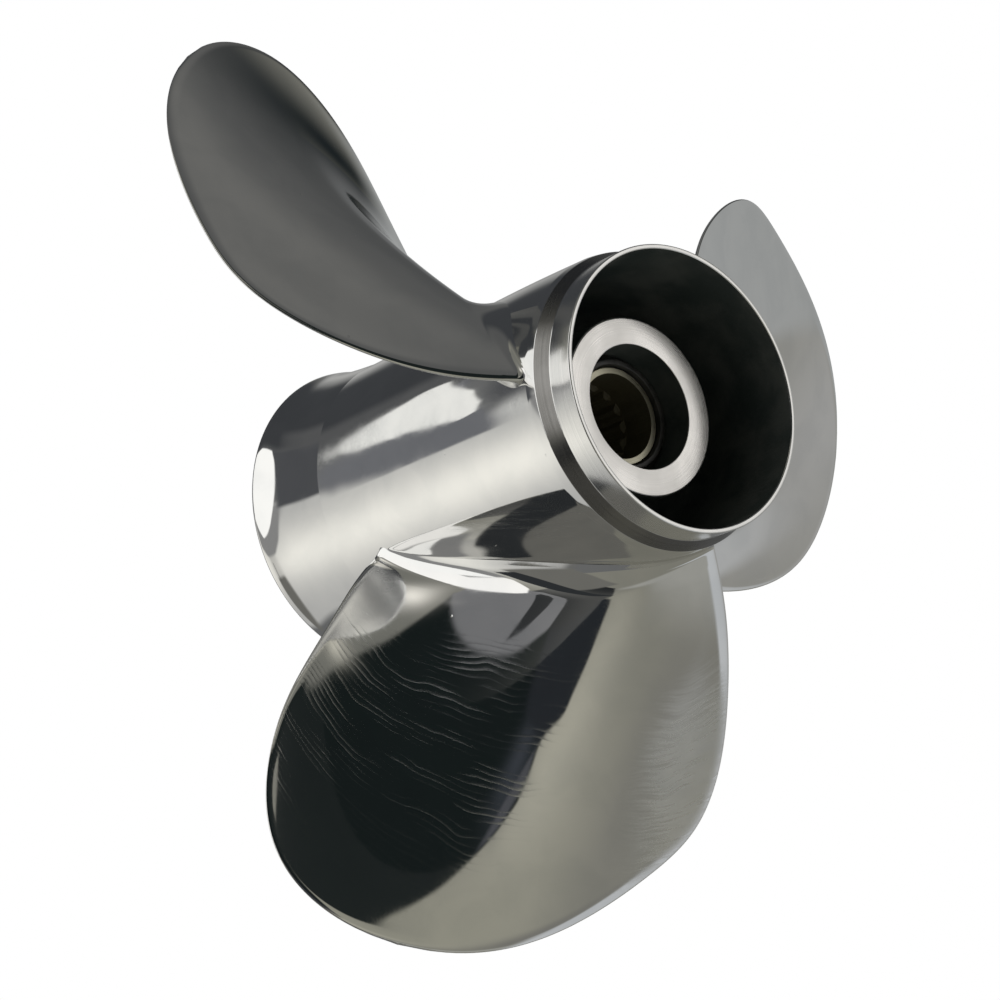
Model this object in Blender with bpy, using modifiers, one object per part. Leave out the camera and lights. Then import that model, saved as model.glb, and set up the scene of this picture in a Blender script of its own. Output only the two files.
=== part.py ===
"""Outboard propeller: three blades on an exhaust barrel, with an inner hub, ribs, a rubber bush and a
splined brass sleeve. The shaft runs along Z, +Z is forward, and blade 1 stands along +X."""
import bpy
import numpy as np

# All lengths are in millimetres and become metres when a mesh is made
MM = 0.001
GAP = 0.3

# Heights along the shaft, from the aft mouth of the sleeve. At the end all pieces move down by BALANCE_Z,
# so that the origin is the balance point
BALANCE_Z = 67.272
FORE_RIM_Z = 147.5
AFT_RIM_Z = -14.0
HUB_FORE_Z = 126.2
HUB_AFT_Z = 3.0
SLEEVE_FORE_Z = 115.3
SLEEVE_AFT_Z = 0.0
BUSH_FORE_Z = 114.0
BUSH_AFT_Z = 7.0
RIB_AFT_Z = 10.0
RIB_FORE_Z = 96.0

# Barrel, outer side from the forward rim to the aft lip, as radius and height
BARREL_OUTER = [
    (46.6, 147.5),
    (47.0, 147.1),
    (46.8, 133.4),
    (49.2, 131.6),
    (49.5, 130.6),
    (49.7, 100.0),
    (49.3, 75.0),
    (48.7, 45.0),
    (48.4, 28.0),
    (48.7, 12.0),
    (49.7, 1.0),
    (51.2, -7.5),
    (52.3, -11.5),
    (52.1, -13.2),
    (51.2, -14.0),
]
# Barrel, inner side from the aft lip back to the forward rim
BARREL_INNER = [
    (48.9, -14.0),
    (47.9, -12.6),
    (46.6, -6.0),
    (45.9, 4.0),
    (45.4, 20.0),
    (45.4, 147.1),
    (45.8, 147.5),
]

HUB_RADIUS = 29.6
HUB_BORE = 20.6
HUB_NECK = 19.4
BUSH_RADIUS = 20.3
SLEEVE_RADIUS = 16.5
RIB_THICKNESS = 6.0

# Shaft bore in the sleeve
BORE_RADIUS = 14.2
SPLINE_TIP = 12.6
SPLINE_ROOT = 14.0
SPLINE_TEETH = 15
PILOT_END_Z = 16.0
COUNTERBORE_Z = 103.0

# Forward side of the blade: a helical surface raked aft, lifted by a bow whose three terms fade outwards
BLADE_COUNT = 3
PITCH = 281.2
PITCH_GAIN = 0.643
RAKE_Z = 112.25
RAKE_SLOPE = -0.4696
RAKE_CURVE = 0.001055
START_ANGLE = 2.52
BOW = (-22.25, 10.42, 12.57)
BOW_GAIN = (0.2211, -0.0068, -0.0681)
ROOT_R = 49.4
# Blade outline from the leading root round the tip to the trailing root: width along the section, radius
OUTLINE = [
    (28.4, 49.4),
    (36.7, 67.9),
    (43.3, 95.9),
    (35.8, 133.0),
    (21.8, 142.9),
    (-7.4, 157.5),
    (-58.3, 168.8),
    (-104.0, 154.3),
    (-103.6, 115.5),
    (-92.2, 82.1),
    (-85.3, 49.4),
]
LEADING_THICKNESS = 2.4
TRAILING_THICKNESS = 1.4
WEB = 1.8
FILLET = 8.0

STEPS = 72

for old in list(bpy.data.objects):
    bpy.data.objects.remove(old, do_unlink=True)


def plain_material(name, color, metallic, roughness):
    """One Principled material for one piece."""
    made = bpy.data.materials.new(name)
    made.use_nodes = True
    shader = made.node_tree.nodes["Principled BSDF"]
    shader.inputs["Base Color"].default_value = (*color, 1.0)
    shader.inputs["Metallic"].default_value = metallic
    shader.inputs["Roughness"].default_value = roughness
    return made


def steel(name):
    return plain_material(name, (0.62, 0.62, 0.61), 1.0, 0.12)


def add_object(name, mesh, material):
    obj = bpy.data.objects.new(name, mesh)
    bpy.context.scene.collection.objects.link(obj)
    mesh.materials.append(material)
    return obj


def revolved(name, profile, material, steps=STEPS):
    """A closed profile in the XZ plane, turned once round Z."""
    mesh = bpy.data.meshes.new(name)
    points = [(r * MM, 0.0, z * MM) for r, z in profile]
    edges = [(i, (i + 1) % len(points)) for i in range(len(points))]
    mesh.from_pydata(points, edges, [])
    obj = add_object(name, mesh, material)
    screw = obj.modifiers.new("Turn", "SCREW")
    screw.axis = "Z"
    screw.steps = steps
    screw.render_steps = steps
    screw.use_merge_vertices = True
    screw.merge_threshold = 0.00001
    return obj


def body_from(name, rings, caps, material):
    """Rings of points lofted in turn, closed by the given cap faces or by joining the last ring to the first."""
    count = len(rings[0])
    points = np.concatenate(rings) * MM
    faces = []
    last = len(rings) if caps is None else len(rings) - 1
    for i in range(last):
        a = i * count
        b = ((i + 1) % len(rings)) * count
        for j in range(count):
            k = (j + 1) % count
            faces.append((a + j, a + k, b + k, b + j))
    if caps is not None:
        faces += caps
    mesh = bpy.data.meshes.new(name)
    mesh.from_pydata([tuple(p) for p in points], [], faces)
    volume = 0.0
    for face in faces:
        for j in range(1, len(face) - 1):
            a, b, c = points[face[0]], points[face[j]], points[face[j + 1]]
            volume += np.dot(a, np.cross(b, c))
    if volume < 0:
        mesh.flip_normals()
    return add_object(name, mesh, material)


def spline_through(points):
    """A natural cubic through the points, as a function of the share of the way along them."""
    points = np.array(points, float)
    way = np.concatenate([[0.0], np.cumsum(np.linalg.norm(np.diff(points, axis=0), axis=1))])
    way /= way[-1]
    step = np.diff(way)
    size = len(points)
    system = np.eye(size)
    right = np.zeros((size, 2))
    for i in range(1, size - 1):
        system[i, i - 1] = step[i - 1]
        system[i, i] = 2 * (step[i - 1] + step[i])
        system[i, i + 1] = step[i]
        right[i] = 3 * ((points[i + 1] - points[i]) / step[i] - (points[i] - points[i - 1]) / step[i - 1])
    bend = np.linalg.solve(system, right)

    def at(share):
        i = np.clip(np.searchsorted(way, share, side="right") - 1, 0, size - 2)
        h = step[i][:, None]
        d = (share - way[i])[:, None]
        slope = (points[i + 1] - points[i]) / h - h * (2 * bend[i] + bend[i + 1]) / 3
        return points[i] + slope * d + bend[i] * d**2 + (bend[i + 1] - bend[i]) / (3 * h) * d**3

    return at


outline = spline_through(OUTLINE)(np.linspace(0.0, 1.0, 1201))
tip = int(np.argmax(outline[:, 1]))
TIP_R = float(outline[tip, 1])


def chord_ends(r):
    """Where the section at radius r meets the leading and the trailing edge."""
    leading = np.interp(r, outline[: tip + 1, 1], outline[: tip + 1, 0])
    trailing = np.interp(-r, -outline[tip:, 1], outline[tip:, 0])
    return leading, trailing


def blade_point(u, r, lift):
    """Angle and height of a point of the forward side at width u and radius r, raised by lift."""
    out = r - ROOT_R
    lead = np.arctan2(PITCH + PITCH_GAIN * out, 2 * np.pi * r)
    share = u / 70.5
    for power in (2, 3, 4):
        lift = lift + (BOW[power - 2] + BOW_GAIN[power - 2] * out) * share**power
    angle = np.radians(START_ANGLE) + (u * np.cos(lead) - lift * np.sin(lead)) / r
    z = RAKE_Z + RAKE_SLOPE * out + RAKE_CURVE * out**2 + u * np.sin(lead) + lift * np.cos(lead)
    return angle, z


def barrel_radius(z):
    heights = [p[1] for p in BARREL_OUTER]
    radii = [p[0] for p in BARREL_OUTER]
    return np.interp(-z, [-h for h in heights], radii)


def thickness_at(c, r, bulge):
    """Thickness at share c of the chord, leading edge first: most of the bulge near the root, a web further out."""
    span = np.clip((r - ROOT_R) / (TIP_R - ROOT_R), 0, 1)
    edge = TRAILING_THICKNESS + (LEADING_THICKNESS - TRAILING_THICKNESS) * (1 - c) * (1 - 0.7 * span)
    web = WEB * (1 - 0.6 * span) * 4 * c * (1 - c)
    return edge + np.hypot(np.maximum(bulge, 0) * (0.85 - 0.45 * span), web)


def fillet_at(distance):
    """How far the root fillet stands off the blade at this distance from the barrel."""
    d = distance + 0.7
    if d >= FILLET:
        return 0.0
    return FILLET - np.sqrt(FILLET**2 - (FILLET - d) ** 2)


def blade_ring(r, count, turn):
    """One closed section: the forward side from leading to trailing edge, then the aft side."""
    leading, trailing = chord_ends(r)
    flare = fillet_at(r - ROOT_R)
    leading += 0.3 * flare
    trailing -= 0.3 * flare
    c = 0.5 - 0.5 * np.cos(np.linspace(0, np.pi, count))
    u = leading + c * (trailing - leading)
    angle, z = blade_point(u, r, 0.0)
    across = angle * r
    chord = np.array([across[0] - across[-1], z[0] - z[-1]])
    chord = chord / max(np.hypot(*chord), 1e-6)
    bulge = (z - z[-1]) * chord[0] - (across - across[-1]) * chord[1]
    thick = thickness_at(c, r, bulge)
    grow = flare * (4 * c * (1 - c)) ** 0.3
    widths = np.concatenate([u, [trailing - 0.45 * thick[-1]], u[::-1], [leading + 0.45 * thick[0]]])
    lifts = np.concatenate([grow, [-0.5 * thick[-1]], (-thick - grow)[::-1], [-0.5 * thick[0]]])
    angle, z = blade_point(widths, r, lifts)
    fade = np.clip((r - ROOT_R) / 9.0, 0, 1)
    fade = 1 - fade * fade * (3 - 2 * fade)
    near = r + fade * (barrel_radius(z) + GAP - ROOT_R)
    return np.stack([near * np.cos(angle + turn), near * np.sin(angle + turn), z], axis=1)


def blade(name, turn, rows=26, count=21, layers=5):
    share = np.linspace(0, 1, rows)
    radii = ROOT_R + (TIP_R - 0.12 - ROOT_R) * (0.35 * share + 0.65 * (1 - (1 - share) ** 2))
    radii = np.concatenate([ROOT_R + np.array([0.0, 1.2, 2.8, 4.8]), radii[radii > ROOT_R + 6.0]])
    rings = [blade_ring(r, count, turn) for r in radii]
    total = len(rings[0])
    # The root cap follows the barrel: strips across the thickness, pressed onto the root radius
    first = rings[0]
    face = [total - 1] + list(range(count)) + [count]
    extra = []
    base = total * len(rings)
    rowsof = []
    for i in range(count):
        back = total - 2 - i
        line = [i]
        for k in range(1, layers):
            p = first[i] + (first[back] - first[i]) * k / layers
            z = p[2]
            stretch = (barrel_radius(z) + GAP) / np.hypot(p[0], p[1])
            extra.append((p[0] * stretch, p[1] * stretch, z))
            line.append(base + len(extra) - 1)
        line.append(back)
        rowsof.append(line)
    caps = []
    for i in range(count - 1):
        for k in range(layers):
            caps.append((rowsof[i][k], rowsof[i][k + 1], rowsof[i + 1][k + 1], rowsof[i + 1][k]))
    caps.append(tuple([total - 1] + rowsof[0][::-1]))
    caps.append(tuple([count] + rowsof[-1]))
    # The tip cap joins the face to the back directly
    top = total * (len(rings) - 1)
    for i in range(count - 1):
        caps.append((top + i, top + i + 1, top + total - 3 - i, top + total - 2 - i))
    caps.append((top + total - 1, top, top + total - 2))
    caps.append((top + count, top + count + 1, top + count - 1))
    points = np.concatenate(rings + [np.array(extra)]) * MM
    faces = []
    for i in range(len(rings) - 1):
        for j in range(total):
            k = (j + 1) % total
            faces.append((i * total + j, i * total + k, (i + 1) * total + k, (i + 1) * total + j))
    faces += caps
    mesh = bpy.data.meshes.new(name)
    mesh.from_pydata([tuple(p) for p in points], [], faces)
    return finish_closed(name, mesh, steel(name))


def finish_closed(name, mesh, material):
    """Turns every face outward with bmesh and links the object."""
    import bmesh

    shape = bmesh.new()
    shape.from_mesh(mesh)
    bmesh.ops.recalc_face_normals(shape, faces=shape.faces)
    shape.to_mesh(mesh)
    shape.free()
    return add_object(name, mesh, material)


revolved("barrel", BARREL_OUTER + BARREL_INNER, steel("barrel"))
for i in range(BLADE_COUNT):
    blade(f"blade_{i + 1}", 2 * np.pi * i / BLADE_COUNT)

revolved(
    "inner_hub",
    [
        (HUB_RADIUS - 0.8, HUB_FORE_Z),
        (HUB_RADIUS, HUB_FORE_Z - 0.8),
        (HUB_RADIUS, HUB_AFT_Z + 1.5),
        (HUB_RADIUS - 1.5, HUB_AFT_Z),
        (HUB_NECK, HUB_AFT_Z),
        (HUB_NECK, BUSH_AFT_Z - GAP),
        (HUB_BORE, BUSH_AFT_Z - GAP),
        (HUB_BORE, HUB_FORE_Z),
    ],
    steel("inner_hub"),
    48,
)

revolved(
    "rubber_bush",
    [
        (18.4, BUSH_FORE_Z + 2.6),
        (19.0, BUSH_FORE_Z + 1.4),
        (19.6, BUSH_FORE_Z),
        (BUSH_RADIUS, BUSH_FORE_Z - 0.6),
        (BUSH_RADIUS, BUSH_AFT_Z),
        (SLEEVE_RADIUS + GAP, BUSH_AFT_Z),
        (SLEEVE_RADIUS + GAP, BUSH_FORE_Z + 2.2),
        (17.3, BUSH_FORE_Z + 3.0),
        (17.9, BUSH_FORE_Z + 3.0),
    ],
    plain_material("rubber_bush", (0.02, 0.02, 0.022), 0.0, 0.45),
    48,
)


def sleeve():
    """The splined sleeve: a lathe shape whose bore carries the spline teeth between two smooth ends."""
    per = 4
    count = SPLINE_TEETH * per
    turn = np.arange(count) * 2 * np.pi / count
    toothed = np.where(np.arange(count) % per < 2, SPLINE_TIP, SPLINE_ROOT)
    rings = []

    def ring(radius, z):
        radius = np.broadcast_to(radius, (count,))
        rings.append(np.stack([radius * np.cos(turn), radius * np.sin(turn), np.full(count, z)], axis=1))

    ring(SLEEVE_RADIUS - 0.5, SLEEVE_FORE_Z)
    ring(SLEEVE_RADIUS, SLEEVE_FORE_Z - 0.5)
    ring(SLEEVE_RADIUS, SLEEVE_AFT_Z + 0.8)
    ring(SLEEVE_RADIUS - 0.8, SLEEVE_AFT_Z)
    ring(BORE_RADIUS, SLEEVE_AFT_Z)
    ring(BORE_RADIUS, PILOT_END_Z)
    ring(toothed, PILOT_END_Z + 1.0)
    ring(toothed, COUNTERBORE_Z - 1.0)
    ring(BORE_RADIUS, COUNTERBORE_Z)
    ring(BORE_RADIUS, SLEEVE_FORE_Z)
    brass = plain_material("spline_sleeve", (0.72, 0.63, 0.42), 1.0, 0.3)
    return body_from("spline_sleeve", rings, None, brass)


sleeve()

for i in range(BLADE_COUNT):
    angle = 2 * np.pi * i / BLADE_COUNT
    inside = HUB_RADIUS + GAP
    outside = 45.4 - GAP - 0.1
    middle = (inside + outside) / 2 * MM
    bpy.ops.mesh.primitive_cube_add(
        size=1.0,
        location=(middle * np.cos(angle), middle * np.sin(angle), (RIB_AFT_Z + RIB_FORE_Z) / 2 * MM),
        rotation=(0.0, 0.0, angle),
    )
    rib = bpy.context.object
    rib.name = f"rib_{i + 1}"
    rib.scale = ((outside - inside) * MM, RIB_THICKNESS * MM, (RIB_FORE_Z - RIB_AFT_Z) * MM)
    rib.data.materials.append(steel(rib.name))

for piece in bpy.data.objects:
    piece.location.z -= BALANCE_Z * MM
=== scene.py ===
# Outboard propeller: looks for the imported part
import math

import bpy
import numpy as np
from mathutils import Matrix, Vector


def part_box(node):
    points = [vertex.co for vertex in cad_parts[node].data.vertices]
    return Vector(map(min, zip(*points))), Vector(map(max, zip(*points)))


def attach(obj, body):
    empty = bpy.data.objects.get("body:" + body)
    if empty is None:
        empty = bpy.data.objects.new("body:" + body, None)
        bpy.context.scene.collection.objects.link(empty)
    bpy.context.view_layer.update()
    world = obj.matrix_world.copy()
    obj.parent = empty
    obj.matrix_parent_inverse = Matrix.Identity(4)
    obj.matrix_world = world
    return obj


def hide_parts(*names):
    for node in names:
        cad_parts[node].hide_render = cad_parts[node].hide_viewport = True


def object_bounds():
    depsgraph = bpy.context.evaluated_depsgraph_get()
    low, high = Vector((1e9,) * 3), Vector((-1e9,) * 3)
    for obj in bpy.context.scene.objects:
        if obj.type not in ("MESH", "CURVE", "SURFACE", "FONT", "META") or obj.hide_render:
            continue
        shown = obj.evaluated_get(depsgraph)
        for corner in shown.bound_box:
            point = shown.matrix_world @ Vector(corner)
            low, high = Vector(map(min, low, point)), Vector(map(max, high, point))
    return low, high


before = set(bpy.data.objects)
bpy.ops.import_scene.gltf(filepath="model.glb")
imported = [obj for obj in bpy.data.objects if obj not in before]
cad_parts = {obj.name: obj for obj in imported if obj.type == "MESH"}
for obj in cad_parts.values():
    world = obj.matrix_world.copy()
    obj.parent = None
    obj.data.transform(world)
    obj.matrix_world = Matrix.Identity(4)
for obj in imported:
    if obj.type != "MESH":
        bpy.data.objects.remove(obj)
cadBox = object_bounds()
mm = 0.001
# heights below are in millimetres above the aft mouth of the sleeve, whose place the frame gives
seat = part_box("spline_sleeve")[0][2]


def deselectAll():
    if bpy.context.mode != "OBJECT":
        bpy.ops.object.mode_set(mode="OBJECT")
    bpy.ops.object.select_all(action="DESELECT")


def splineThrough(points):
    # natural cubic through the points, read by the share of the way along them
    points = np.array(points, float)
    way = np.concatenate([[0.0], np.cumsum(np.linalg.norm(np.diff(points, axis=0), axis=1))])
    way /= way[-1]
    step = np.diff(way)
    size = len(points)
    system = np.eye(size)
    right = np.zeros((size, 2))
    for i in range(1, size - 1):
        system[i, i - 1:i + 2] = step[i - 1], 2 * (step[i - 1] + step[i]), step[i]
        right[i] = 3 * ((points[i + 1] - points[i]) / step[i] - (points[i] - points[i - 1]) / step[i - 1])
    bend = np.linalg.solve(system, right)

    def at(share):
        i = np.clip(np.searchsorted(way, share, side="right") - 1, 0, size - 2)
        h = step[i][:, None]
        d = (share - way[i])[:, None]
        slope = (points[i + 1] - points[i]) / h - h * (2 * bend[i] + bend[i + 1]) / 3
        return points[i] + slope * d + bend[i] * d**2 + (bend[i + 1] - bend[i]) / (3 * h) * d**3

    return at


def roundedProfile(corners):
    # corners are (radius, height, rounding); each rounding becomes an arc of a few chords
    bends = 6
    out = []
    count = len(corners)
    for i, (r, z, soft) in enumerate(corners):
        here = np.array([r, z], float)
        if soft <= 0:
            out.append(here)
            continue
        before = np.array(corners[i - 1][:2], float) - here
        after = np.array(corners[(i + 1) % count][:2], float) - here
        a, b = before / np.linalg.norm(before), after / np.linalg.norm(after)
        half = math.acos(np.clip(a @ b, -1, 1)) / 2
        reach = soft / math.tan(half)
        middle = here + (a + b) / np.linalg.norm(a + b) * soft / math.sin(half)
        start, end = here + a * reach - middle, here + b * reach - middle
        turn = math.acos(np.clip(start @ end / soft**2, -1, 1))
        for k in range(bends + 1):
            w = k / bends
            arm = start * math.sin((1 - w) * turn) + end * math.sin(w * turn)
            out.append(middle + arm / math.sin(turn))
    return out


def turnedPiece(name, profile, steps):
    # the profile is drawn in the XZ plane and spun round the shaft
    deselectAll()
    bpy.ops.mesh.primitive_circle_add(vertices=len(profile), radius=1.0)
    obj = bpy.context.object
    obj.name = obj.data.name = name
    for vertex, (r, z) in zip(obj.data.vertices, profile):
        vertex.co = (r * mm, 0.0, seat + z * mm)
    bpy.ops.object.mode_set(mode="EDIT")
    bpy.ops.mesh.select_all(action="SELECT")
    bpy.ops.mesh.spin(steps=steps, angle=2 * math.pi, center=(0, 0, 0), axis=(0, 0, 1))
    bpy.ops.mesh.select_all(action="SELECT")
    bpy.ops.mesh.remove_doubles(threshold=0.000002)
    bpy.ops.mesh.normals_make_consistent(inside=False)
    bpy.ops.object.mode_set(mode="OBJECT")
    bpy.ops.object.shade_smooth()
    return obj


def finish(name, color, metallic, roughness):
    # a Principled material with its node tree at hand
    made = bpy.data.materials.new(name)
    made.use_nodes = True
    tree = made.node_tree
    shader = tree.nodes["Principled BSDF"]
    shader.inputs["Base Color"].default_value = (*color, 1.0)
    shader.inputs["Metallic"].default_value = metallic
    shader.inputs["Roughness"].default_value = roughness
    return made, tree, shader


def addNode(tree, kind, settings=None, **links):
    # a node with its settings; each link names an input and the output or number that feeds it
    node = tree.nodes.new(kind)
    for key, value in (settings or {}).items():
        setattr(node, key, value)
    for key, value in links.items():
        socket = node.inputs[int(key[1:])] if key[0] == "i" and key[1:].isdigit() else node.inputs[key]
        if isinstance(value, bpy.types.NodeSocket):
            tree.links.new(value, socket)
        else:
            socket.default_value = value
    return node


def mathNode(tree, operation, *values):
    node = tree.nodes.new("ShaderNodeMath")
    node.operation = operation
    for i, value in enumerate(values):
        if isinstance(value, bpy.types.NodeSocket):
            tree.links.new(value, node.inputs[i])
        else:
            node.inputs[i].default_value = value
    return node.outputs[0]


def noiseOn(tree, vector, scale, detail=3.0, distortion=0.0):
    node = addNode(tree, "ShaderNodeTexNoise",
                   Vector=vector, Scale=scale, Detail=detail, Distortion=distortion)
    return node.outputs["Fac"]


def spread(tree, value, low, high, toLow=0.0, toHigh=1.0):
    # maps a value smoothly from one range to another
    node = addNode(tree, "ShaderNodeMapRange", {"interpolation_type": "SMOOTHSTEP"},
                   Value=value, i1=low, i2=high, i3=toLow, i4=toHigh)
    return node.outputs[0]


def joinXYZ(tree, **parts):
    return addNode(tree, "ShaderNodeCombineXYZ", **parts).outputs[0]


def splitXYZ(tree, vector):
    return addNode(tree, "ShaderNodeSeparateXYZ", Vector=vector).outputs


def blendColors(tree, share, first, second):
    node = tree.nodes.new("ShaderNodeMix")
    node.data_type = "RGBA"
    tree.links.new(share, node.inputs[0])
    for socket, value in ((node.inputs[6], first), (node.inputs[7], second)):
        if isinstance(value, bpy.types.NodeSocket):
            tree.links.new(value, socket)
        else:
            socket.default_value = (*value, 1.0)
    return node.outputs[2]


def bumpOn(tree, height, distance, strength=1.0, under=None):
    node = addNode(tree, "ShaderNodeBump", Height=height, Distance=distance, Strength=strength)
    if under:
        tree.links.new(under, node.inputs["Normal"])
    return node.outputs["Normal"]


barrelLook = {
    "outer": [(49.5, 130.6), (49.7, 115.0), (49.7, 100.0), (49.3, 75.0), (48.72, 45.0), (48.43, 29.0),
              (48.26, 18.8)],
    "flare": [(48.26, 18.8), (48.42, 16.6), (48.8, 11.5), (49.3, 5.5), (49.95, -0.5), (51.2, -7.8),
              (52.2, -11.2)],
    # the forward end with its land and the aft lip, as (radius, height, rounding)
    "land": [(45.4, 100.0, 0), (45.4, 147.5, 0.45), (47.0, 147.5, 0.4), (46.9, 138.2, 0.8),
             (49.15, 133.0, 0.9), (49.6, 120.0, 0)],
    "lip": [(51.6, -9.0, 0), (52.5, -12.6, 1.0), (51.6, -14.0, 0.5), (48.9, -14.0, 0.8), (47.2, -9.0, 0)],
    "inside": [(46.6, -6.0), (45.9, 4.0), (45.4, 20.0), (45.4, 60.0), (45.4, 100.0)],
    "bodyTop": 131.0,
    "outerPoints": 90,
    "flarePoints": 40,
    "steps": 288,
}
outerCurve = splineThrough(barrelLook["outer"])(np.linspace(0, 1, barrelLook["outerPoints"]))
flareCurve = splineThrough(barrelLook["flare"])(np.linspace(0, 1, barrelLook["flarePoints"]))
barrelCurve = np.concatenate([outerCurve[:-1], flareCurve])


def barrelRadius(z):
    return np.interp(-z, -barrelCurve[:, 1], barrelCurve[:, 0])


def makeBarrel():
    # the first and last corner of each rounded run only give its direction
    land = roundedProfile(barrelLook["land"])[1:-1]
    body = [p for p in barrelCurve if p[1] < barrelLook["bodyTop"]]
    lip = roundedProfile(barrelLook["lip"])[1:-1]
    profile = [tuple(p) for p in land + body + lip + barrelLook["inside"]]
    obj = turnedPiece("castBarrel", profile, barrelLook["steps"])
    # the flare starts at a crisp ring
    ringRadius, ringHeight = barrelLook["flare"][0]
    closeHeight, closeRadius = 0.05 * mm, 0.5 * mm
    onRing = [abs(v.co.z - seat - ringHeight * mm) < closeHeight
              and abs(math.hypot(v.co.x, v.co.y) - ringRadius * mm) < closeRadius
              for v in obj.data.vertices]
    for edge in obj.data.edges:
        edge.use_edge_sharp = onRing[edge.vertices[0]] and onRing[edge.vertices[1]]
    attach(obj, "root")
    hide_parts("barrel")
    return obj


bladeLook = {
    # width along the section and radius, from the leading root round the tip to the trailing root
    "outline": [(28.4, 49.4), (36.7, 67.9), (43.3, 95.9), (35.8, 133.0), (21.8, 142.9), (-7.4, 157.5),
                (-58.3, 168.5), (-104.0, 154.3), (-103.6, 115.5), (-92.2, 82.1), (-85.3, 49.4)],
    "outlinePoints": 1601,
    "pitch": 281.2,
    "pitchGain": 0.643,
    "rakeHeight": 112.25,
    "rakeSlope": -0.4696,
    "rakeCurve": 0.001055,
    "startAngle": 2.52,
    "bow": (-22.25, 10.42, 12.57),
    "bowGain": (0.2211, -0.0068, -0.0681),
    "bowWidth": 70.5,
    "rootRadius": 49.4,
    "leadingHalf": 1.2,
    "trailingHalf": 0.7,
    "edgeTaper": 0.7,
    "edgeRoll": 2.4,
    "leadingRollMore": 1.8,
    "bulgeShare": (0.85, 0.45),
    "web": 1.8,
    "webTaper": 0.6,
    # the forward fillet's size at its middle, the least that it sinks to, its middle's place along
    # the section, and how slowly it shrinks from there to the trailing and the leading side
    "fillet": 8.5,
    "filletLeast": 1.0,
    "filletMiddle": -11.0,
    "filletReach": (74.0, 26.0),
    "aftFillet": 8.0,
    "aftFilletEase": 0.3,
    "filletStart": 0.05,
    "filletSteep": 0.88,
    "blendBand": 9.0,
    "plainEdgeBand": 6.0,
    "sunkDepth": 1.4,
    "rows": 122,
    "rootRows": 18,
    "rootBand": 9.0,
    "rootCrowding": 1.2,
    "evenShare": 0.4,
    "crowdedShare": 0.6,
    "crowding": 2.2,
    "columns": 100,
    # the skin's coordinates are in decimetres, and their third part is a mark on the aft side
    "skinScale": 0.01,
    "aftSideMark": 100.0,
}
bladeOutline = splineThrough(bladeLook["outline"])(np.linspace(0.0, 1.0, bladeLook["outlinePoints"]))
tipIndex = int(np.argmax(bladeOutline[:, 1]))
tipRadius = float(bladeOutline[tipIndex, 1])


def chordEnds(r):
    leading = np.interp(r, bladeOutline[:tipIndex + 1, 1], bladeOutline[:tipIndex + 1, 0])
    trailing = np.interp(-r, -bladeOutline[tipIndex:, 1], bladeOutline[tipIndex:, 0])
    return leading, trailing


def bladePoints(u, r, lift, turn):
    # a helical surface raked aft, lifted by a bow that changes outwards
    look = bladeLook
    out = r - look["rootRadius"]
    lead = np.arctan2(look["pitch"] + look["pitchGain"] * out, 2 * np.pi * r)
    for power in (2, 3, 4):
        bow = look["bow"][power - 2] + look["bowGain"][power - 2] * out
        lift = lift + bow * (u / look["bowWidth"]) ** power
    angle = math.radians(look["startAngle"]) + (u * np.cos(lead) - lift * np.sin(lead)) / r + turn
    rake = look["rakeHeight"] + look["rakeSlope"] * out + look["rakeCurve"] * out**2
    z = rake + u * np.sin(lead) + lift * np.cos(lead)
    return angle, z


def edgeDistance(u, r):
    # distance to the outline, in the flat plan of the blade, against every fourth of its points
    flat = np.stack([u.ravel(), r.ravel()], axis=1)
    near = np.full(len(flat), np.inf)
    line = bladeOutline[::4]
    for a, b in zip(line[:-1], line[1:]):
        along = b - a
        share = np.clip(((flat - a) @ along) / (along @ along), 0, 1)
        gap = np.hypot(*(flat - a - share[:, None] * along).T)
        near = np.minimum(near, gap)
    return near.reshape(u.shape)


def filletLift(distance, radius):
    # a quarter round that goes on straight once it is steep enough
    steep = bladeLook["filletSteep"]
    d = np.clip(radius - distance, 0, radius * steep)
    rest = np.clip(radius - distance - d, 0, None)
    return radius - np.sqrt(radius**2 - d**2) + rest * steep / math.sqrt(1 - steep**2)


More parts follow.
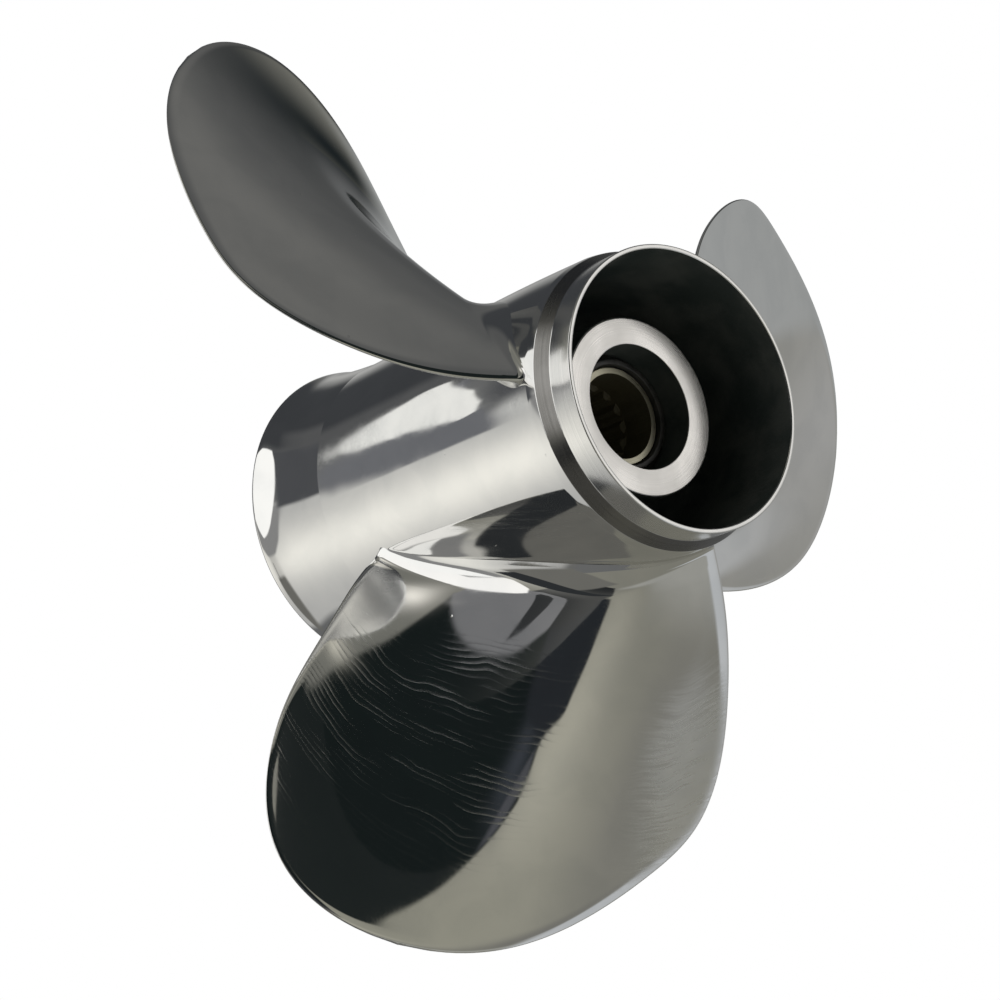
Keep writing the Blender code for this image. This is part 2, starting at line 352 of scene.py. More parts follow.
def makeBlade(number):
    look = bladeLook
    rows, columns = look["rows"], look["columns"]
    root = look["rootRadius"]
    # rows are close together in the fillet and again towards the tip
    low = look["rootBand"] * np.linspace(0, 1, look["rootRows"] + 1)[:-1] ** look["rootCrowding"]
    share = np.linspace(0, 1, rows - look["rootRows"])
    share = look["evenShare"] * share + look["crowdedShare"] * (1 - (1 - share) ** look["crowding"])
    high = look["rootBand"] + (tipRadius - root - look["rootBand"]) * share
    radii = root + np.concatenate([low, high])
    # c runs from 0 at the leading edge to 1 at the trailing one
    c = (0.5 - 0.5 * np.cos(np.linspace(0, np.pi, columns)))[None, :]
    distance = (radii - root)[:, None]
    leading, trailing = (ends[:, None] for ends in chordEnds(radii))
    u = leading + c * (trailing - leading)
    r = np.repeat(radii[:, None], columns, axis=1)
    edge = edgeDistance(u, r)
    edge = np.where(distance < look["plainEdgeBand"], np.minimum(c, 1 - c) * (leading - trailing), edge)
    span = np.clip(distance / (tipRadius - root), 0, 1)
    more = (look["leadingHalf"] - look["trailingHalf"]) * (1 - c) * (1 - look["edgeTaper"] * span)
    half = look["trailingHalf"] + more
    # the polished edge rolls over in a flat ellipse
    inward = 1 - np.clip(edge / (look["edgeRoll"] + look["leadingRollMore"] * (1 - c)), 0, 1)
    roundOff = half * np.sqrt(1 - inward**2)
    # bulge above the straight chord, which the aft side mostly keeps to
    angle, z = bladePoints(u, r, 0.0, 0.0)
    across = angle * r
    dx, dz = across[:, :1] - across[:, -1:], z[:, :1] - z[:, -1:]
    length = np.maximum(np.hypot(dx, dz), 1e-6)
    bulge = ((z - z[:, -1:]) * dx - (across - across[:, -1:]) * dz) / length
    atRoot, lessOutwards = look["bulgeShare"]
    web = look["web"] * (1 - look["webTaper"] * span) * 4 * c * (1 - c)
    extra = np.hypot(np.maximum(bulge, 0) * (atRoot - lessOutwards * span), web)
    # the forward fillet is largest near the middle of the root and smaller at both edges
    reach = np.where(u < look["filletMiddle"], *look["filletReach"])
    swell = np.exp(-((u - look["filletMiddle"]) / reach) ** 2)
    foreRadius = look["filletLeast"] + (look["fillet"] - look["filletLeast"]) * swell
    grow = filletLift(distance + look["filletStart"], foreRadius)
    ease = (4 * c * (1 - c)) ** look["aftFilletEase"]
    aftGrow = filletLift(distance + look["filletStart"], look["aftFillet"]) * ease
    faceLift = -half + roundOff + grow
    backLift = -half - roundOff - extra - aftGrow
    turn = 2 * np.pi * (number - 1) / 3
    fade = np.clip(distance / look["blendBand"], 0, 1)
    fade = 1 - fade * fade * (3 - 2 * fade)
    sheets = []
    for lift in (faceLift, backLift):
        angle, z = bladePoints(u, r, lift, turn)
        near = r + fade * (barrelRadius(z) - root)
        sheets.append(np.stack([near * np.cos(angle), near * np.sin(angle), z], axis=2))
    # a grid is laid once round the section, forward side first, with one more row sunk into the barrel
    around = columns * 2 - 1
    deselectAll()
    bpy.ops.mesh.primitive_grid_add(x_subdivisions=around - 1, y_subdivisions=rows, size=2.0)
    obj = bpy.context.object
    obj.name = obj.data.name = f"castBlade{number}"
    loop = np.concatenate([sheets[0], sheets[1][:, ::-1][:, 1:]], axis=1)
    # that row goes on in the fillet's own slope, so the smooth shading holds up to the seam
    slope = loop[0] - loop[1]
    sunk = loop[0] + slope / np.linalg.norm(slope, axis=1, keepdims=True) * look["sunkDepth"]
    loop = np.concatenate([sunk[None], loop], axis=0) * mm
    loop[..., 2] += seat
    obj.data.vertices.foreach_set("co", loop.reshape(-1, 3).astype(np.float32).ravel())
    # width and radius stay with the skin, in decimetres, because the polishing marks follow them
    flat = np.stack([u, r, np.zeros_like(u)], axis=2)
    flat = np.concatenate([flat, flat[:, ::-1][:, 1:] + np.array([0.0, 0.0, look["aftSideMark"]])], axis=1)
    flat = np.concatenate([flat[:1], flat], axis=0) * look["skinScale"]
    skin = obj.data.attributes.new("skin", "FLOAT_VECTOR", "POINT")
    skin.data.foreach_set("vector", flat.reshape(-1, 3).astype(np.float32).ravel())
    obj.data.update()
    bpy.ops.object.mode_set(mode="EDIT")
    bpy.ops.mesh.select_all(action="SELECT")
    bpy.ops.mesh.remove_doubles(threshold=0.000004)
    bpy.ops.mesh.select_all(action="DESELECT")
    bpy.ops.mesh.select_non_manifold(extend=False)
    bpy.ops.mesh.fill()
    bpy.ops.mesh.select_all(action="SELECT")
    bpy.ops.mesh.normals_make_consistent(inside=False)
    bpy.ops.object.mode_set(mode="OBJECT")
    bpy.ops.object.shade_smooth()
    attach(obj, "root")
    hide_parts(f"blade_{number}")
    return obj


castBarrel = makeBarrel()
print("barrel made", len(castBarrel.data.polygons))
castBlades = [makeBlade(number) for number in (1, 2, 3)]
print("blades made", len(castBlades[0].data.polygons))

# corners are (radius, height, rounding)
hubLook = {
    "corners": [(20.6, 126.2, 0.25), (29.6, 126.2, 0.7), (29.6, 3.0, 1.2), (19.4, 3.0, 0.4), (19.4, 6.7, 0),
                (20.6, 6.7, 0)],
    "steps": 192,
}
hub = turnedPiece("innerHub", [tuple(p) for p in roundedProfile(hubLook["corners"])], hubLook["steps"])
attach(hub, "root")
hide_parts("inner_hub")

bushLook = {
    "corners": [(20.5, 114.0, 0), (20.5, 7.0, 0), (16.6, 7.0, 0), (16.6, 117.0, 0.4), (18.4, 117.0, 0.6),
                (19.2, 114.6, 0.8)],
    "steps": 160,
}
bush = turnedPiece("rubberBush", [tuple(p) for p in roundedProfile(bushLook["corners"])], bushLook["steps"])
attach(bush, "root")
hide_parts("rubber_bush")
print("hub and bush made")

steelLook = {
    "bright": (0.82, 0.815, 0.80),
    "dull": (0.76, 0.76, 0.75),
    "plainRoughness": 0.05,
    "mirrorRoughness": 0.03,
    "hazeRoughness": 0.09,
    "hazeScale": 60.0,
    "hazeDistortion": 0.4,
    "tintRange": (0.35, 0.7),
    "grainScale": 1400.0,
    "grainShares": (0.7, 0.3),
    "grainRange": (0.4, 0.75),
    "waveScale": 38.0,
    "waveDistortion": 0.3,
    "waveDepth": 0.00005,
    "pitScale": 85.0,
    "pitSize": (0.02, 0.05),
    "pitRarity": (0.86, 0.87),
    "pitDepth": 0.0001,
    "pitStrength": 0.6,
    "aftSideMore": 0.2,
}
# places are in decimetres on the skin, as width along the section or as radius
marksLook = {
    "bandsPerDecimetre": 46.0,
    "bandTilt": 0.5,
    "tiltStart": 0.3,
    # scale and height of the waves in the bands
    "waves": ((3.0, 0.12), (11.0, 0.02)),
    "sharpness": 3.0,
    "streakWidth": (0.0, -0.4),
    "streakOuter": (1.6, 1.1),
    "streakInner": (0.68, 0.8),
    "clumpStretch": (2.2, 9.0),
    "clumpScale": 1.7,
    "clumpRange": (0.34, 0.66),
    "streakRoughness": 0.32,
    "satinWidth": (0.0, 0.36),
    "satinRadius": (0.75, 1.1),
    "brushStretch": (14.0, 0.8),
    "brushScale": 9.0,
    "brushRange": (0.3, 0.7),
    "brushStrength": (0.6, 1.3),
    "satinRoughness": 0.36,
    "onFirstBlade": 1.0,
    "onOthers": 0.12,
}


def markRoughness(tree, marks):
    # what the polishing streaks and the satin patch add to the roughness
    look = marksLook
    skin = addNode(tree, "ShaderNodeAttribute", {"attribute_name": "skin"}).outputs["Vector"]
    wide, far = splitXYZ(tree, skin)[:2]
    # fine bands follow the section where the belt skipped, each with one sharp side
    lag = mathNode(tree, "MINIMUM", mathNode(tree, "ADD", wide, look["tiltStart"]), 0.0)
    course = mathNode(tree, "MULTIPLY_ADD", mathNode(tree, "MULTIPLY", lag, lag), look["bandTilt"], far)
    for scale, height in look["waves"]:
        course = mathNode(tree, "MULTIPLY_ADD", noiseOn(tree, skin, scale, detail=1.0), height, course)
    band = mathNode(tree, "FRACT", mathNode(tree, "MULTIPLY", course, look["bandsPerDecimetre"]))
    # they are strongest on the trailing half of the blade, clear of the root and the tip
    where = mathNode(tree, "MULTIPLY", spread(tree, wide, *look["streakWidth"]),
                     spread(tree, far, *look["streakOuter"]))
    where = mathNode(tree, "MULTIPLY", where, spread(tree, far, *look["streakInner"]))
    along, over = look["clumpStretch"]
    stretched = joinXYZ(tree, X=mathNode(tree, "MULTIPLY", wide, along),
                        Y=mathNode(tree, "MULTIPLY", course, over))
    clumps = spread(tree, noiseOn(tree, stretched, look["clumpScale"], detail=2.0), *look["clumpRange"])
    where = mathNode(tree, "MULTIPLY", where, clumps)
    streak = mathNode(tree, "MULTIPLY", mathNode(tree, "POWER", band, look["sharpness"]), where)
    # a satin patch towards the leading edge, where the buffing was lighter, brushed along the section
    satin = mathNode(tree, "MULTIPLY", spread(tree, wide, *look["satinWidth"]),
                     spread(tree, far, *look["satinRadius"]))
    over, along = look["brushStretch"]
    brushLine = joinXYZ(tree, X=mathNode(tree, "MULTIPLY", course, over),
                        Y=mathNode(tree, "MULTIPLY", wide, along))
    brushed = spread(tree, noiseOn(tree, brushLine, look["brushScale"]),
                     *look["brushRange"], *look["brushStrength"])
    satin = mathNode(tree, "MULTIPLY", satin, brushed)
    return (mathNode(tree, "MULTIPLY", streak, marks * look["streakRoughness"]),
            mathNode(tree, "MULTIPLY", satin, marks * look["satinRoughness"]))


def polishedSteel(name, marks=0.0, more=0.0):
    look = steelLook
    made, tree, shader = finish(name, look["bright"], 1.0, look["plainRoughness"])
    place = tree.nodes.new("ShaderNodeTexCoord").outputs["Object"]
    haze = noiseOn(tree, place, look["hazeScale"], detail=5.0, distortion=look["hazeDistortion"])
    fine = noiseOn(tree, place, look["grainScale"], detail=2.0)
    tint = spread(tree, haze, *look["tintRange"])
    tree.links.new(blendColors(tree, tint, look["bright"], look["dull"]), shader.inputs["Base Color"])
    hazeShare, fineShare = look["grainShares"]
    grain = mathNode(tree, "ADD", mathNode(tree, "MULTIPLY", haze, hazeShare),
                     mathNode(tree, "MULTIPLY", fine, fineShare))
    rough = spread(tree, grain, *look["grainRange"],
                   look["mirrorRoughness"] + more, look["hazeRoughness"] + more)
    # hand polishing leaves the surface gently wavy
    wave = noiseOn(tree, place, look["waveScale"], detail=1.0, distortion=look["waveDistortion"])
    normal = bumpOn(tree, wave, look["waveDepth"])
    if marks:
        for added in markRoughness(tree, marks):
            rough = mathNode(tree, "ADD", rough, added)
    # a few casting pits
    pits = addNode(tree, "ShaderNodeTexVoronoi", Vector=place, Scale=look["pitScale"])
    pit = spread(tree, pits.outputs["Distance"], *look["pitSize"])
    rare = spread(tree, splitXYZ(tree, pits.outputs["Color"])[0], *look["pitRarity"], 1.0, 0.0)
    normal = bumpOn(tree, mathNode(tree, "MAXIMUM", pit, rare), look["pitDepth"], look["pitStrength"], normal)
    tree.links.new(rough, shader.inputs["Roughness"])
    tree.links.new(normal, shader.inputs["Normal"])
    return made


# what all turned pieces share, beside the values that each has of its own
latheLook = {
    "driftScale": 25.0,
    "drift": 0.0002,
    "cloudScale": 90.0,
    "ringShare": 0.6,
    "cloudShare": 0.4,
    "tintRange": (0.35, 0.68),
    "roughRange": (0.3, 0.7),
    # the least and the greatest roughness, as shares of the piece's own
    "roughShares": (0.75, 1.3),
}


def turnedMetal(name, color, tone, roughness, ringScale, depth, flatRings=False, metallic=1.0):
    # lathe marks: rings along the axis, or round it on a flat face
    look = latheLook
    made, tree, shader = finish(name, color, metallic, roughness)
    place = tree.nodes.new("ShaderNodeTexCoord").outputs["Object"]
    x, y, z = splitXYZ(tree, place)
    if flatRings:
        plan = joinXYZ(tree, X=x, Y=y)
        way = addNode(tree, "ShaderNodeVectorMath", {"operation": "LENGTH"}, i0=plan).outputs["Value"]
    else:
        way = z
    drift = mathNode(tree, "MULTIPLY", noiseOn(tree, place, look["driftScale"], detail=1.0), look["drift"])
    line = joinXYZ(tree, X=mathNode(tree, "ADD", way, drift))
    rings = noiseOn(tree, line, ringScale)
    cloud = noiseOn(tree, place, look["cloudScale"], detail=4.0)
    clouded = mathNode(tree, "MULTIPLY", cloud, look["cloudShare"])
    share = mathNode(tree, "MULTIPLY_ADD", rings, look["ringShare"], clouded)
    tint = spread(tree, share, *look["tintRange"])
    tree.links.new(blendColors(tree, tint, color, tone), shader.inputs["Base Color"])
    least, most = look["roughShares"]
    rough = spread(tree, share, *look["roughRange"], roughness * least, roughness * most)
    tree.links.new(rough, shader.inputs["Roughness"])
    tree.links.new(bumpOn(tree, rings, depth), shader.inputs["Normal"])
    return made


passageLook = {
    "color": (0.05, 0.057, 0.055),
    "roughness": 0.5,
    "specular": 0.3,
    "dark": (0.06, 0.075, 0.071),
    "pale": (0.12, 0.13, 0.12),
    "cloudScale": 70.0,
    "cloudDistortion": 0.3,
    "tintRange": (0.35, 0.7),
    "roughRange": (0.3, 0.7),
    "roughnesses": (0.42, 0.62),
    "grainScale": 700.0,
    "grainDepth": 0.00008,
}


def darkPassage(name):
    # dark cast walls of the exhaust passage
    look = passageLook
    made, tree, shader = finish(name, look["color"], 0.0, look["roughness"])
    place = tree.nodes.new("ShaderNodeTexCoord").outputs["Object"]
    cloud = noiseOn(tree, place, look["cloudScale"], detail=5.0, distortion=look["cloudDistortion"])
    soot = blendColors(tree, spread(tree, cloud, *look["tintRange"]), look["dark"], look["pale"])
    tree.links.new(soot, shader.inputs["Base Color"])
    rough = spread(tree, cloud, *look["roughRange"], *look["roughnesses"])
    tree.links.new(rough, shader.inputs["Roughness"])
    grain = noiseOn(tree, place, look["grainScale"])
    tree.links.new(bumpOn(tree, grain, look["grainDepth"]), shader.inputs["Normal"])
    shader.inputs["Specular IOR Level"].default_value = look["specular"]
    return made


rubberLook = {
    "color": (0.02, 0.02, 0.022),
    "roughness": 0.35,
    "dark": (0.03, 0.03, 0.03),
    "pale": (0.06, 0.058, 0.055),
    "cloudScale": 260.0,
    "cloudRange": (0.3, 0.7),
    "roughnesses": (0.28, 0.44),
    "grainScale": 1800.0,
    "grainDepth": 0.00003,
}


def mouldedRubber(name):
    look = rubberLook
    made, tree, shader = finish(name, look["color"], 0.0, look["roughness"])
    place = tree.nodes.new("ShaderNodeTexCoord").outputs["Object"]
    cloud = noiseOn(tree, place, look["cloudScale"], detail=4.0)
    black = blendColors(tree, spread(tree, cloud, *look["cloudRange"]), look["dark"], look["pale"])
    tree.links.new(black, shader.inputs["Base Color"])
    rough = spread(tree, cloud, *look["cloudRange"], *look["roughnesses"])
    tree.links.new(rough, shader.inputs["Roughness"])
    grain = noiseOn(tree, place, look["grainScale"], detail=2.0)
    tree.links.new(bumpOn(tree, grain, look["grainDepth"]), shader.inputs["Normal"])
    return made


bodySteel = polishedSteel("polishedBarrelSteel")
# the first blade carries the clearest marks, the others hardly any
markedSteel = polishedSteel("markedBladeSteel", marksLook["onFirstBlade"])
cleanSteel = polishedSteel("polishedBladeSteel", marksLook["onOthers"])
aftSteel = polishedSteel("satinBladeSteel", 0.0, steelLook["aftSideMore"])
# light tone, dark tone, roughness, ring scale and ring depth of what was turned on the lathe
turnedLook = {
    "land": ((0.8, 0.795, 0.78), (0.7, 0.7, 0.69), 0.17, 1600.0, 0.0000012),
    # the shoulder's tones are painted shade on the turned step, much darker than the polished steel around it
    "shoulder": ((0.27, 0.265, 0.255), (0.2, 0.195, 0.185), 0.24, 900.0, 0.0000015),
    "hubFace": ((0.93, 0.91, 0.885), (0.86, 0.845, 0.82), 0.3, 3600.0, 0.000004),
    "sleeve": ((0.52, 0.5, 0.4), (0.42, 0.4, 0.3), 0.3, 3000.0, 0.000006),
    # the bore is the sleeve's own brass, its tones painted dark and not metallic as painted shade deep inside
    # the sleeve
    "bore": ((0.135, 0.118, 0.07), (0.1, 0.088, 0.052), 0.6, 3000.0, 0.00001),
}
landSteel = turnedMetal("turnedLandSteel", *turnedLook["land"])
shadedShoulderSteel = turnedMetal("paintedShadeShoulderSteel", *turnedLook["shoulder"])
hubFaceSteel = turnedMetal("facedHubSteel", *turnedLook["hubFace"], True)
sleeveBrass = turnedMetal("dullBrass", *turnedLook["sleeve"], True)
# the sleeve's brass again, darkened as painted shade in the bore
shadedBoreBrass = turnedMetal("paintedShadeBoreBrass", *turnedLook["bore"], metallic=0.0)
passageDarkFinish = darkPassage("darkPassageWalls")
rubber = mouldedRubber("mouldedRubber")


def paint(obj, choices, choose):
    # every face takes the finish that its middle calls for
    for material in choices:
        obj.data.materials.append(material)
    for face in obj.data.polygons:
        middle = face.center
        face.material_index = choose(math.hypot(middle.x, middle.y) / mm, (middle.z - seat) / mm)


# where each finish starts and ends, in millimetres of height or radius
finishBounds = {
    "shoulder": (133.2, 137.75),
    "brightStep": (137.7, 138.8),
    "landStart": 134.0,
    "outerWall": 46.0,
    "rimInside": 45.45,
    "passageWall": 45.8,
    "lipInside": 2.0,
    "hubFaceStart": 125.9,
    "hubFaceRadius": 29.65,
    "boreRadius": 14.2,
    "bore": (0.1, 115.2),
}


def barrelFinish(r, z):
    # 0 polished, 1 land, 2 passage, 3 shoulder with painted shade
    bounds = finishBounds
    if r > bounds["outerWall"]:
        if bounds["shoulder"][0] < z < bounds["shoulder"][1]:
            return 3
        if bounds["brightStep"][0] < z < bounds["brightStep"][1]:
            return 0
    if z > bounds["landStart"] and r > bounds["rimInside"]:
        return 1
    return 2 if r < bounds["passageWall"] and z > bounds["lipInside"] else 0


def hubFinish(r, z):
    return 0 if z > finishBounds["hubFaceStart"] and r < finishBounds["hubFaceRadius"] else 1


def sleeveFinish(r, z):
    low, high = finishBounds["bore"]
    return 1 if r < finishBounds["boreRadius"] and low < z < high else 0


paint(castBarrel, [bodySteel, landSteel, passageDarkFinish, shadedShoulderSteel], barrelFinish)
paint(hub, [hubFaceSteel, passageDarkFinish], hubFinish)
paint(bush, [rubber], lambda r, z: 0)
aftMark = bladeLook["aftSideMark"] * bladeLook["skinScale"]
for obj in castBlades:
    paint(obj, [markedSteel if obj is castBlades[0] else cleanSteel, aftSteel], lambda r, z: 0)
    # the aft sides, which face away from the camera, have a softer polish
    skin = obj.data.attributes["skin"].data
    for face in obj.data.polygons:
        if all(skin[corner].vector.z > aftMark / 2 for corner in face.vertices):
            face.material_index = 1
for name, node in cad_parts.items():
    if not node.hide_render:
        node.data.materials.clear()
        if name == "spline_sleeve":
            paint(node, [sleeveBrass, shadedBoreBrass], sleeveFinish)
        elif name.startswith("rib"):
            paint(node, [passageDarkFinish], lambda r, z: 0)
print("finishes made")

floorSize = {"width": 12.0, "drop": 0.0002}
deselectAll()
bpy.ops.mesh.primitive_plane_add(size=floorSize["width"], location=(0, 0, 0))
floor = bpy.context.object
floor.name = "floor"
for vertex in floor.data.vertices:
    vertex.co.z = cadBox[0][2] - floorSize["drop"]
# the floor is lit paper, bright enough to stay plain white
floorLook = bpy.data.materials.new("paleFloor")
floorLook.use_nodes = True
floorTree = floorLook.node_tree
floorTree.nodes.remove(floorTree.nodes["Principled BSDF"])
glow = addNode(floorTree, "ShaderNodeEmission", Color=(1.0, 1.0, 1.0, 1.0), Strength=1.0)
floorTree.links.new(glow.outputs[0], floorTree.nodes["Material Output"].inputs["Surface"])
floor.data.materials.append(floorLook)
# the steel mirrors the studio's cards, not the paper it stands on
floor.visible_glossy = False

studioLook = {
    "air": (0.235, 0.232, 0.2),
    "ground": (0.15, 0.153, 0.155),
    "horizon": -0.24,
    "glowReach": 2.4,
    # shapes that cut the cards which name them, each with its softness
    "edges": {
        "ceilingEdge": (
            [(150, 68), (190, 74.6), (225, 75.3), (250, 74.6), (280, 70.4), (295, 66.5), (306, 61.5),
             (350, 60), (30, 60), (90, 60)],
            0.01),
        "wallEdge": (
            [(300, 66.5), (299.5, 62.5), (298.3, 52), (298, 35), (330, 20), (355, 30), (0, 60), (320, 78)],
            0.012),
    },
    # a flat card has its corners as azimuth and height in degrees, its softness, its tone and what cuts it;
    # a round glow has azimuth, height, turn, width and tallness, then its tone; later ones cover earlier ones
    "pieces": [
        ("glow", "warmGlow", (311, 64, 0, 0.19, 0.3), (0.42, 0.41, 0.345)),
        ("glow", "ceilingGlow", (285, 82, 0, 0.3, 0.2), (0.32, 0.315, 0.26)),
        ("glow", "farGrey", (12, 63, 0, 0.1, 0.2), (0.198, 0.195, 0.178)),
        ("card", "rootGlow", [(335, 50), (335, 33), (15, 33), (22, 50)], 0.08, (0.36, 0.36, 0.335), []),
        ("card", "edgeSky", [(15, 63), (19, 20), (75, 18), (75, 55), (45, 62)], 0.05, (0.54, 0.56, 0.58), []),
        ("card", "faceLight",
         [(100, 38), (131, 38), (142, 60), (120, 72), (84, 62), (88, 47)],
         0.05, (1.08, 1.06, 1.03), []),
        ("card", "blackFlag",
         [(143, 67), (170, 82), (300, 76), (306, 58), (306, 40), (278, 28), (232, 3), (200, 0), (160, 30)],
         0.008, (0.009, 0.013, 0.013), ["ceilingEdge", "wallEdge"]),
        ("glow", "foldHaze", (291, 58, 0, 0.05, 0.13), (0.042, 0.048, 0.058)),
        ("card", "blackFlagEnd",
         [(298.2, 58.2), (307.3, 57.8), (307.8, 53), (305.5, 46), (298, 41), (285, 30), (276, 33), (285, 50)],
         0.01, (0.02, 0.023, 0.027), []),
        ("card", "blueFold",
         [(285, 68.8), (295, 66.3), (299.5, 62.5), (298, 58.5), (293, 62)],
         0.012, (0.075, 0.078, 0.088), ["ceilingEdge", "wallEdge"]),
        ("card", "sideCard",
         [(230, -6), (230.5, 12), (228.5, 25), (221, 39), (208, 53.5), (197, 59), (186, 61), (196, 10),
          (205, -8)],
         0.02, (0.19, 0.19, 0.17), []),
        ("glow", "sideEdge", (210, 44, -32, 0.13, 0.045), (0.62, 0.6, 0.52)),
        ("card", "rootFlag",
         [(276, 38), (276, 14), (300, 12), (325, 14), (338, 20), (338, 30), (325, 38), (306, 46), (290, 42)],
         0.012, (0.02, 0.022, 0.024), []),
        ("card", "greyWall",
         [(276.5, 36), (268.5, 34), (229.8, 3.6), (240, -10), (262, 0), (282, 18), (279.5, 31)],
         0.01, (0.19, 0.192, 0.2), []),
        ("card", "darkSlot",
         [(262.3, 21.5), (262.3, 28.2), (266, 29.3), (271, 28.5), (275, 24), (275, 19.5), (268, 19.5)],
         0.006, (0.03, 0.032, 0.034), []),
        ("card", "sillLight",
         [(204, -8), (204, 2), (214, 3.5), (234, 7.5), (246, 13.5), (262, 22), (266, 20), (258, 14),
          (238, -4), (225, -8)],
         0.025, (0.265, 0.265, 0.265), []),
        ("card", "stripLight",
         [(221, -4), (224, -2), (258, 13.8), (268, 15.6), (281, 10.6), (286, 4), (290, -4), (284, -20),
          (250, -20)],
         0.012, (1.15, 1.14, 1.12), []),
        ("glow", "cornerLight", (219, 6, 0, 0.12, 0.09), (0.95, 0.92, 0.85)),
        ("card", "leftWall",
         [(129, 50), (129.5, 5), (128.5, -33), (150, -45), (185, -45), (200, -20), (200, 25), (170, 40)],
         0.03, (0.1, 0.102, 0.102), []),
        ("glow", "leftSheen", (148, 14, 0, 0.3, 0.2), (0.16, 0.16, 0.155)),
        ("glow", "backWall", (86, 20, 0, 0.38, 0.5), (0.38, 0.38, 0.375)),
        ("glow", "darkPost", (128, -4, 0, 0.13, 0.38), (0.014, 0.018, 0.02)),
        ("card", "sideCrescent",
         [(98, 34), (124.8, 34), (124.8, -48), (98, -48)],
         0.03, (0.36, 0.37, 0.37), []),
        ("card", "floorRight",
         [(258, -32), (275, -18), (345, -18), (350, -60), (300, -75), (255, -60)],
         0.05, (0.5, 0.5, 0.49), []),
        ("glow", "floorSun", (298, -46, 0, 0.27, 0.6), (1.02, 1.005, 0.94)),
        ("card", "floorSeam",
         [(262, -8), (292, -8), (291, -22), (283, -31), (270, -36), (258, -38)],
         0.025, (0.27, 0.27, 0.27), []),
        ("card", "floorDark",
         [(155, -3), (219, -12), (219, -60), (155, -60)],
         0.08, (0.05, 0.053, 0.058), []),
        ("glow", "floorLeft", (137, -49, 0, 0.14, 0.12), (0.42, 0.42, 0.41)),
        ("card", "floorStep",
         [(204, -40), (222, -40), (222, -56), (204, -56)],
         0.06, (0.1, 0.102, 0.105), []),
        ("card", "floorShade",
         [(219, -33), (261, -36), (261, -45.5), (249, -46.5), (219, -48)],
         0.025, (0.08, 0.083, 0.09), []),
        ("card", "floorBlue",
         [(216, -53), (264, -55), (266, -51.2), (273, -50), (277, -48.5), (276, -46.2), (262, -46),
          (252, -46.8), (219, -47.5)],
         0.012, (0.165, 0.17, 0.185), []),
        ("glow", "floorMid", (258, -45.3, 0, 0.08, 0.012), (0.66, 0.66, 0.64)),
        ("card", "floorPatch",
         [(225, -51.6), (213, -49.6), (216, -48.8), (233, -47.6), (244, -47.2), (249.5, -47.7),
          (250.3, -48.9), (249, -49.9), (242, -50.8), (233, -51.4)],
         0.003, (0.95, 0.95, 0.92), []),
        ("card", "softbox",
         [(219.5, -10), (219.5, -33), (226, -36), (240, -36.9), (252, -35.6), (262, -32.5), (272, -26.5),
          (279, -18), (284, -8)],
         0.012, (1.15, 1.15, 1.13), []),
        ("card", "underGrey", [(306, -21), (350, -21), (350, 20), (306, 20)], 0.03, (0.165, 0.163, 0.15), []),
        ("card", "lowFlag",
         [(295.5, -17), (294.5, 0), (297, 18), (304, 36), (311, 44), (313.5, 42), (312, 4), (309, -17)],
         0.01, (0.03, 0.033, 0.036), []),
    ],
}


def toward(azimuth, height):
    a, e = math.radians(azimuth), math.radians(height)
    return Vector((math.cos(a) * math.cos(e), math.sin(a) * math.cos(e), math.sin(e)))


def dotNode(tree, way, axis):
    node = addNode(tree, "ShaderNodeVectorMath", {"operation": "DOT_PRODUCT"}, i0=way, i1=axis)
    return node.outputs["Value"]


def cardMask(tree, way, corners, soft):
    # inside every great circle that joins two corners
    points = [toward(*corner) for corner in corners]
    middle = sum(points, Vector())
    mask = None
    for i, point in enumerate(points):
        side = point.cross(points[(i + 1) % len(points)]).normalized()
        if side.dot(middle) < 0:
            side.negate()
        reach = dotNode(tree, way, side)
        inside = spread(tree, reach, -soft, soft)
        mask = inside if mask is None else mathNode(tree, "MULTIPLY", mask, inside)
    return mask


def glowMask(tree, way, azimuth, height, turn, width, tall):
    middle = toward(azimuth, height)
    across = Vector((-math.sin(math.radians(azimuth)), math.cos(math.radians(azimuth)), 0))
    upward = middle.cross(across)
    spin = math.radians(turn)
    across, upward = (across * math.cos(spin) + upward * math.sin(spin),
                      upward * math.cos(spin) - across * math.sin(spin))
    x, y, front = (dotNode(tree, way, axis) for axis in (across / width, upward / tall, middle))
    total = mathNode(tree, "MULTIPLY_ADD", x, x, mathNode(tree, "MULTIPLY", y, y))
    return mathNode(tree, "MULTIPLY", mathNode(tree, "EXPONENT", mathNode(tree, "MULTIPLY", total, -1.0)),
                    mathNode(tree, "GREATER_THAN", front, 0.0))


def reachesHalf(kind, shape, low):
    # whether a card or glow has any part below, or above, the horizon between the halves
    look = studioLook
    if kind == "card":
        heights = [toward(*corner).z for corner in shape]
    else:
        # past this many widths a glow has faded out
        middle, reach = toward(shape[0], shape[1]).z, look["glowReach"] * max(shape[3:])
        heights = [middle - reach, middle + reach]
    return min(heights) < look["horizon"] if low else max(heights) > look["horizon"]


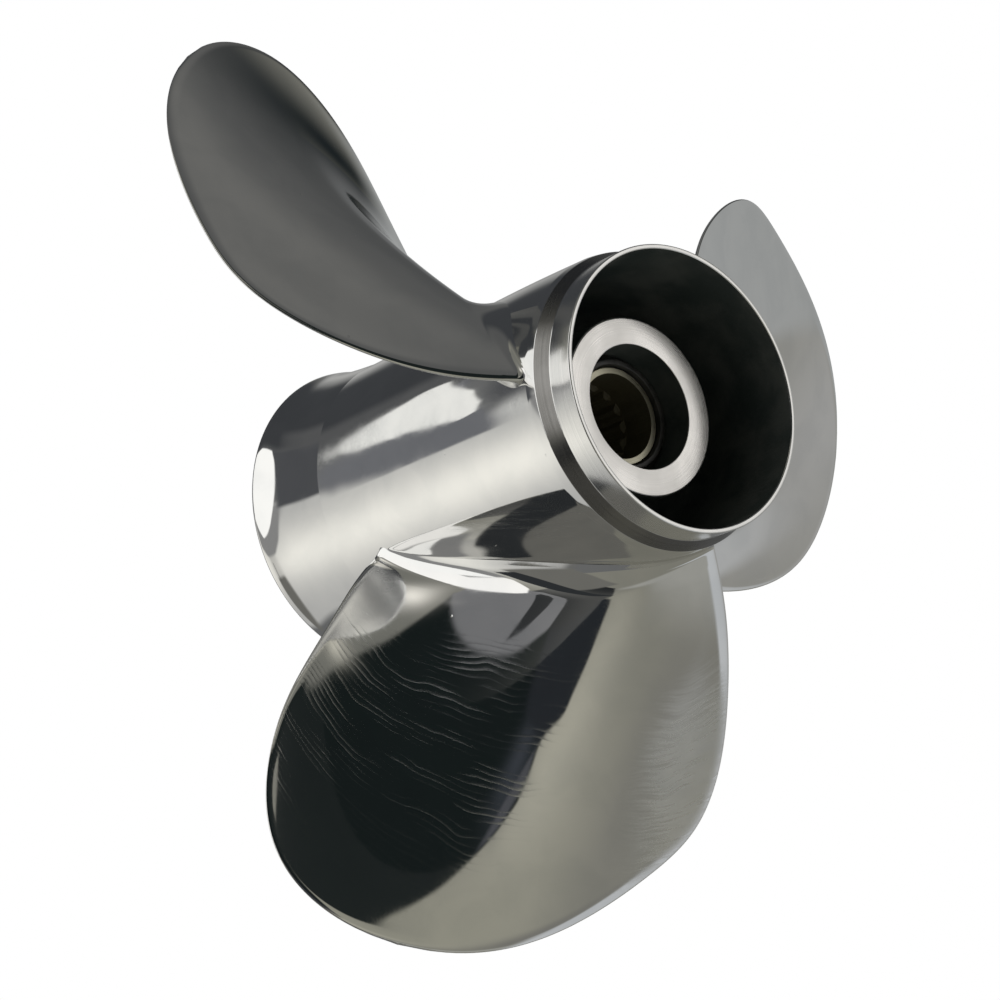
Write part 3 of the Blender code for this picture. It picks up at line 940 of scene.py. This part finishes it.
def makeStudio():
    look = studioLook
    world = bpy.data.worlds.new("studio")
    bpy.context.scene.world = world
    world.use_nodes = True
    tree = world.node_tree
    way = tree.nodes.new("ShaderNodeTexCoord").outputs["Generated"]
    # the camera looks at plain white paper, and each half of the sky is worked out only where it is looked up
    halves = []
    for low in (True, False):
        edges = {}
        color = look["ground" if low else "air"]
        for kind, name, shape, *rest in look["pieces"]:
            if not reachesHalf(kind, shape, low):
                continue
            if kind == "card":
                soft, tone, cuts = rest
                mask = cardMask(tree, way, shape, soft)
                for cut in cuts:
                    if cut not in edges:
                        edges[cut] = mathNode(tree, "SUBTRACT", 1.0, cardMask(tree, way, *look["edges"][cut]))
                    mask = mathNode(tree, "MULTIPLY", mask, edges[cut])
            else:
                tone, = rest
                mask = glowMask(tree, way, *shape)
            color = blendColors(tree, mask, color, tone)
        halves.append(addNode(tree, "ShaderNodeBackground", Color=color, Strength=1.0).outputs[0])
    height = splitXYZ(tree, way)[2]
    above = mathNode(tree, "GREATER_THAN", height, look["horizon"])
    sky = addNode(tree, "ShaderNodeMixShader", Fac=above, i1=halves[0], i2=halves[1]).outputs[0]
    seen = tree.nodes.new("ShaderNodeLightPath").outputs["Is Camera Ray"]
    paper = tree.nodes["Background"]
    paper.inputs["Color"].default_value = (1.0, 1.0, 1.0, 1.0)
    both = addNode(tree, "ShaderNodeMixShader", Fac=seen, i1=sky, i2=paper.outputs[0]).outputs[0]
    tree.links.new(both, tree.nodes["World Output"].inputs["Surface"])
    world.cycles.sampling_method = "NONE"


makeStudio()
print("studio made")

# angles in degrees, lens and sensor in millimetres, the rest in metres
cameraLook = {
    "lens": 126.29,
    "sensor": 36.0,
    "distance": 1.09263,
    "offAxis": 42.438,
    "azimuth": -65.33,
    "roll": -67.529,
    # how far the shaft's axis at the rim lies off the picture's middle, in rim radii of 47 mm
    "slideRight": 1.2243 * 0.047,
    "slideUp": 0.74597 * 0.047,
    "aimHeight": seat + 0.1475,
    "clip": (0.05, 50),
}


def makeCamera():
    look = cameraLook
    data = bpy.data.cameras.new("photoCamera")
    cam = bpy.data.objects.new("photoCamera", data)
    bpy.context.scene.collection.objects.link(cam)
    data.lens = look["lens"]
    data.sensor_width = look["sensor"]
    tilt, side, roll = (math.radians(look[k]) for k in ("offAxis", "azimuth", "roll"))
    back = Vector((math.sin(tilt) * math.cos(side), math.sin(tilt) * math.sin(side), math.cos(tilt)))
    right = Vector((0, 0, 1)).cross(back).normalized()
    up = back.cross(right)
    camRight = math.cos(roll) * right - math.sin(roll) * up
    camUp = math.sin(roll) * right + math.cos(roll) * up
    aim = Vector((0, 0, look["aimHeight"]))
    place = aim + back * look["distance"] - camRight * look["slideRight"] - camUp * look["slideUp"]
    cam.matrix_world = Matrix((
        (camRight.x, camUp.x, back.x, place.x),
        (camRight.y, camUp.y, back.y, place.y),
        (camRight.z, camUp.z, back.z, place.z),
        (0, 0, 0, 1)))
    data.clip_start, data.clip_end = look["clip"]
    bpy.context.scene.camera = cam


makeCamera()
bpy.context.scene.view_settings.view_transform = "Standard"
print("scene ready")
